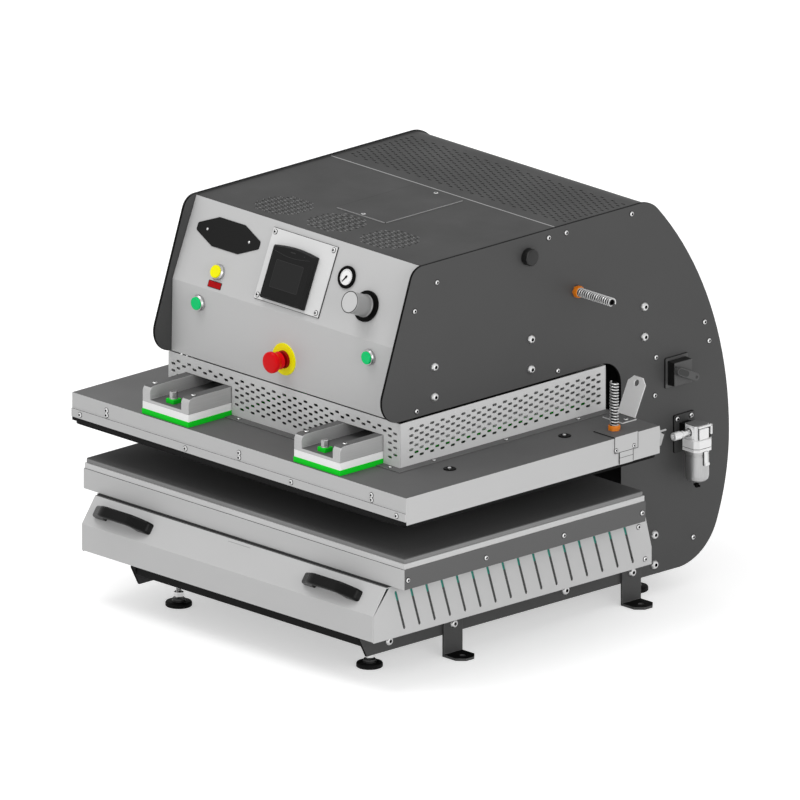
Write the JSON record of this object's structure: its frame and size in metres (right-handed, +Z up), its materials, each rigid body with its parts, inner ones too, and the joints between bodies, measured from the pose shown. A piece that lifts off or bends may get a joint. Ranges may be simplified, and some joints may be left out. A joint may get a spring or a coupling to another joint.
{
  "type": "slide-out heat press",
  "caption": "Bench heat press: C shaped side plates, a heated upper platen that presses down and a lower platen on a drawer that slides out to the front.",
  "frame": {"origin": "middle of the four bench bracket holes, on the floor plane", "axes": "+X to the machine's right as its user sees it, +Y to the back, +Z up"},
  "size_m": [0.8851, 0.9839, 0.7568],
  "materials": {
    "dark_paint": "fine textured powder coat, dark grey",
    "light_paint": "fine textured powder coat, light grey",
    "black_paint": "satin black",
    "casing_paint": "powder coat, light grey",
    "zinc": "zinc plated screws",
    "steel": "ground steel",
    "chrome_rod": "hard chromed",
    "aluminium": "milled",
    "platen_black": "black coated heater casting",
    "black_plastic": "moulded black plastic",
    "grey_plastic": "moulded grey plastic",
    "white_plastic": "moulded white plastic",
    "white_board": "white insulation board",
    "green_board": "green insulation board",
    "green_plastic": "green push button cap",
    "yellow_plastic": "yellow",
    "red_plastic": "red mushroom head",
    "orange_plastic": "orange gland nut",
    "teal_paint": "teal chassis paint",
    "foam": "grey silicone foam",
    "knob_grey": "turned knob"
  },
  "bodies": {
    "frame": {"left_side_plate": "dark_paint", "right_side_plate": "dark_paint", "cross_rails": "black_paint", "throat_back_panel": "black_paint", "control_fascia": "light_paint", "top_cover": "dark_paint", "access_hatch": "dark_paint", "rear_cover": "dark_paint", "bench_brackets": "dark_paint", "frame_screws": "zinc", "nameplate_blank": "black_plastic", "controller_plate": "white_plastic", "touch_controller": "black_plastic", "button_collars": "chrome_rod", "estop_disc": "yellow_plastic", "gauge_case": "black_plastic", "regulator_body": "black_plastic", "isolator_base": "grey_plastic", "filter_bracket": "black_paint", "filter_head": "white_plastic", "filter_bowl": "steel", "side_gland": "orange_plastic", "side_gland_spring": "zinc", "side_cap": "black_plastic", "cylinder_mounts": "steel", "cylinders_and_bushes": "aluminium", "control_gear": "grey_plastic", "runner_outer": "zinc"},
    "platen": {"heated_platen": "platen_black", "platen_casing": "casing_paint", "insulation_white": "white_board", "insulation_green": "green_board", "press_beams": "steel", "perforated_guard": "light_paint", "platen_screws": "zinc", "platen_brackets": "light_paint", "platen_gland": "orange_plastic", "platen_gland_spring": "zinc", "press_rods": "chrome_rod"},
    "drawer": {"drawer_chassis": "teal_paint", "drawer_covers": "light_paint", "drawer_handles": "black_plastic", "drawer_screws": "zinc", "lower_tray": "dark_paint", "lower_platen": "aluminium", "foam_pad": "foam", "runner_inner": "zinc"},
    "middle_runner": {"runner_middle": "zinc"},
    "yellow_cap": {"yellow_button": "yellow_plastic"},
    "green_cap_left": {"green_button_left": "green_plastic"},
    "green_cap_right": {"green_button_right": "green_plastic"},
    "estop": {"estop_head": "red_plastic"},
    "needle": {"gauge_needle": "black_plastic"},
    "pressure_knob": {"regulator_knob": "knob_grey"},
    "switch_handle": {"isolator_handle": "grey_plastic"},
    "drain": {"filter_drain": "black_plastic"},
    "foot_front_left": {"front_left_foot": "zinc"},
    "foot_front_right": {"front_right_foot": "zinc"},
    "foot_rear_left": {"rear_left_foot": "zinc"},
    "foot_rear_right": {"rear_right_foot": "zinc"}
  },
  "joints": [
    {"name": "platen_press", "type": "slide", "parent": "frame", "child": "platen", "axis": [0, 0, -1], "range_m": [0, 0.064], "stiffness_N_per_m": 5000, "springref_m": -0.32},
    {"name": "drawer_slide", "type": "slide", "parent": "frame", "child": "drawer", "axis": [0, -1, 0], "range_m": [0, 0.5]},
    {"name": "runner_slide", "type": "slide", "parent": "frame", "child": "middle_runner", "axis": [0, -1, 0], "range_m": [0, 0.25]},
    {"name": "yellow_push", "type": "slide", "parent": "frame", "child": "yellow_cap", "axis": [0, 0.9256, -0.3786], "range_m": [0, 0.004], "stiffness_N_per_m": 500, "springref_m": -0.004},
    {"name": "start_push_left", "type": "slide", "parent": "frame", "child": "green_cap_left", "axis": [0, 0.9998, -0.0183], "range_m": [0, 0.004], "stiffness_N_per_m": 500, "springref_m": -0.004},
    {"name": "start_push_right", "type": "slide", "parent": "frame", "child": "green_cap_right", "axis": [0, 0.9998, -0.0183], "range_m": [0, 0.004], "stiffness_N_per_m": 500, "springref_m": -0.004},
    {"name": "stop_push", "type": "slide", "parent": "frame", "child": "estop", "axis": [0, 0.9998, -0.0183], "range_m": [0, 0.006], "stiffness_N_per_m": 800, "springref_m": -0.003},
    {"name": "needle_turn", "type": "hinge", "parent": "frame", "child": "needle", "pos_m": [0.126, -0.31671, 0.69847], "axis": [0, 0.9256, -0.3786], "range_deg": [0, 270]},
    {"name": "knob_turn", "type": "hinge", "parent": "frame", "child": "pressure_knob", "pos_m": [0.1935, -0.33166, 0.66191], "axis": [0, -0.9256, 0.3786], "continuous": true},
    {"name": "switch_turn", "type": "hinge", "parent": "frame", "child": "switch_handle", "pos_m": [0.3025, 0.3385, 0.4185], "axis": [1, 0, 0], "range_deg": [0, 90]},
    {"name": "drain_turn", "type": "hinge", "parent": "frame", "child": "drain", "pos_m": [0.339, 0.357, 0.212], "axis": [0, 0, 1], "range_deg": [0, 90]},
    {"name": "foot_turn_front_left", "type": "hinge", "parent": "frame", "child": "foot_front_left", "pos_m": [-0.252, -0.381, 0.03], "axis": [0, 0, 1], "continuous": true},
    {"name": "foot_turn_front_right", "type": "hinge", "parent": "frame", "child": "foot_front_right", "pos_m": [0.252, -0.381, 0.03], "axis": [0, 0, 1], "continuous": true},
    {"name": "foot_turn_rear_left", "type": "hinge", "parent": "frame", "child": "foot_rear_left", "pos_m": [-0.252, 0.284, 0.03], "axis": [0, 0, 1], "continuous": true},
    {"name": "foot_turn_rear_right", "type": "hinge", "parent": "frame", "child": "foot_rear_right", "pos_m": [0.252, 0.284, 0.03], "axis": [0, 0, 1], "continuous": true}
  ],
  "couplings": [
    {"joint": "runner_slide", "follows": "drawer_slide", "ratio": 0.5}
  ]
}
